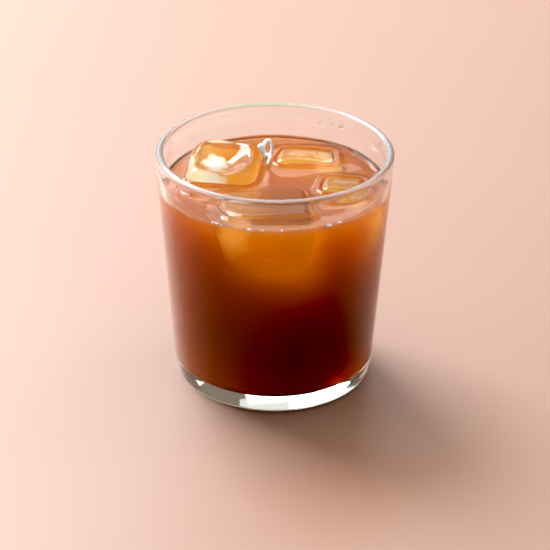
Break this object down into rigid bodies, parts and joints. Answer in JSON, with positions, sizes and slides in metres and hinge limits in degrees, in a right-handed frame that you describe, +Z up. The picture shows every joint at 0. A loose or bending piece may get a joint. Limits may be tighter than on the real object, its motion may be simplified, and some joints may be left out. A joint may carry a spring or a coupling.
{
  "type": "iced long black coffee in a glass",
  "caption": "Short tapered glass tumbler of iced black coffee, with large melting ice cubes floating at its surface.",
  "frame": {"origin": "middle of the ring that the tumbler stands on", "axes": "+Z up along the tumbler's axis; the view that shows the cubes as they are named looks along +Y"},
  "size_m": [0.0858, 0.0858, 0.0888],
  "materials": {
    "glass": "clear, smooth and polished, with a faint green in its edges",
    "coffee": "clear dark brown liquid that glows orange where it is thin",
    "ice": "wet, clear at the edges with a cloudy core"
  },
  "bodies": {
    "root": {"glass": "glass", "coffee": "coffee", "ice_back_left": "ice", "ice_back_right": "ice", "ice_right": "ice", "ice_front": "ice"}
  },
  "joints": []
}
